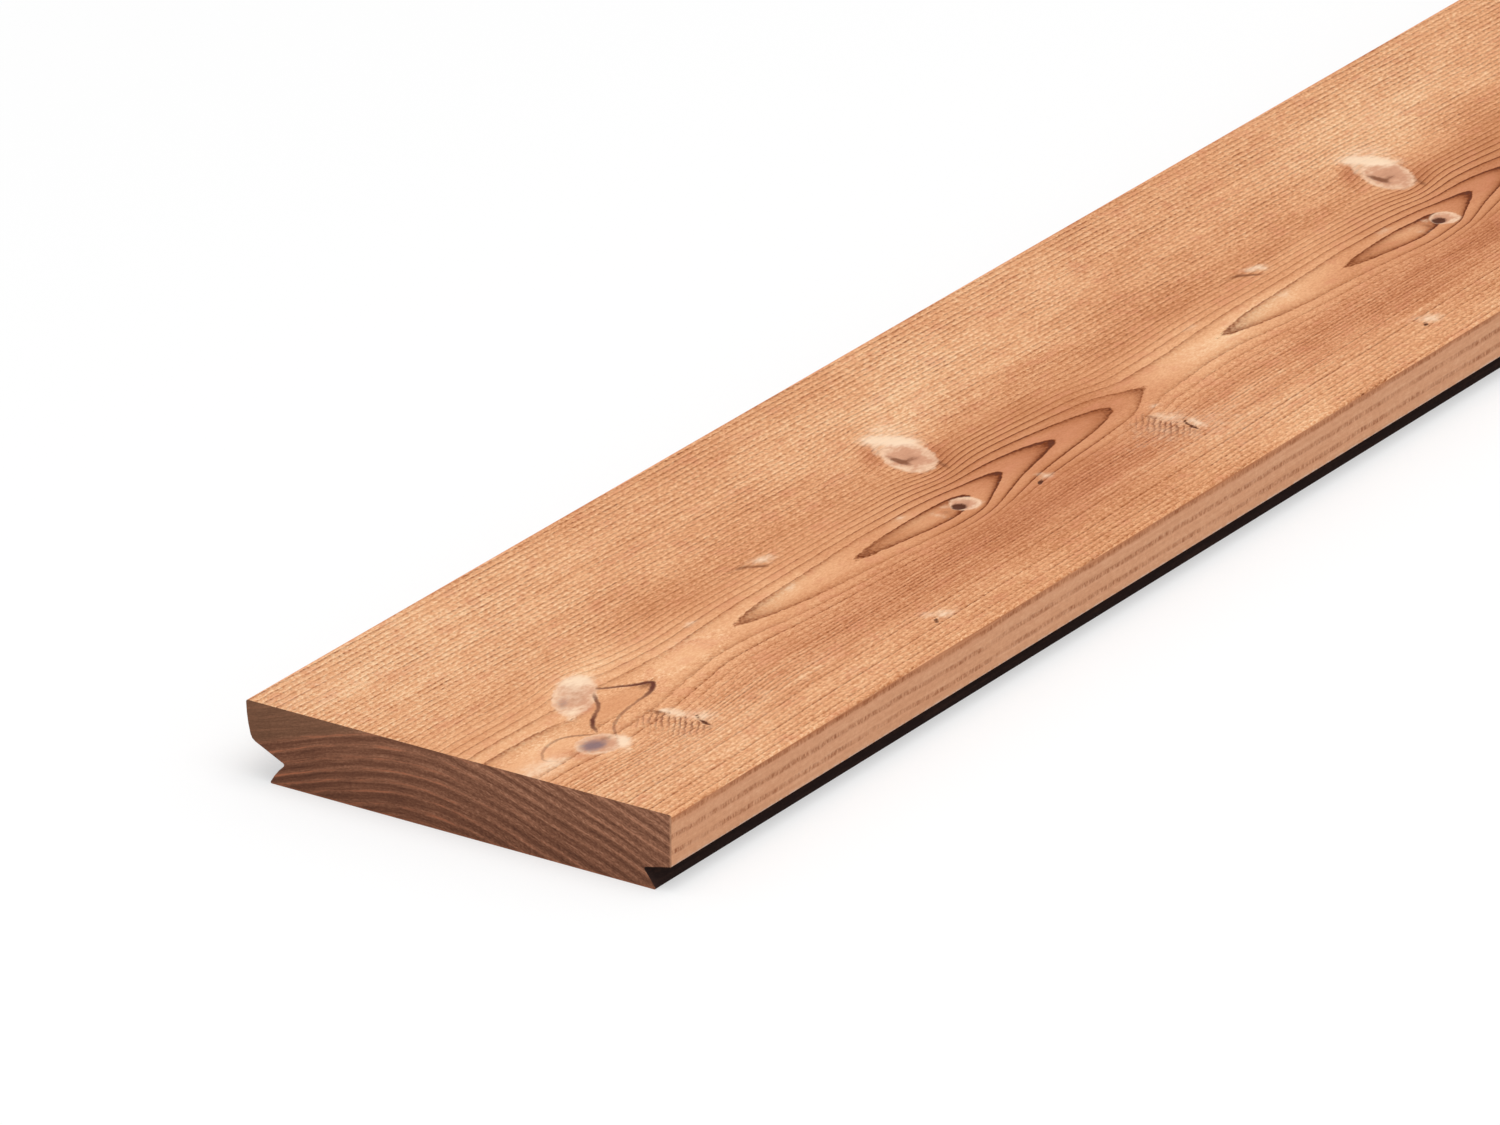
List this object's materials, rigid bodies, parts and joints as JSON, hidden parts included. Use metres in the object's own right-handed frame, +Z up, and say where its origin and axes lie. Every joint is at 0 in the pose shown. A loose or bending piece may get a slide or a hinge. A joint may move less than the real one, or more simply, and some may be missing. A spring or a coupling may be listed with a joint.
{
  "type": "decking board",
  "caption": "Planed softwood decking board with a smooth walking face and a moulded groove along each long edge for hidden fixing clips.",
  "frame": {"origin": "middle of the underside, halfway along the board", "axes": "+Y along the board's length, +Z up through the walking face, +X across the board towards the edge with the upright side"},
  "size_m": [0.145, 1.8, 0.024],
  "materials": {
    "planed_softwood": "planed, uncoated, warm tan with darker growth-ring figure"
  },
  "bodies": {
    "root": {"decking_board": "planed_softwood"}
  },
  "joints": []
}
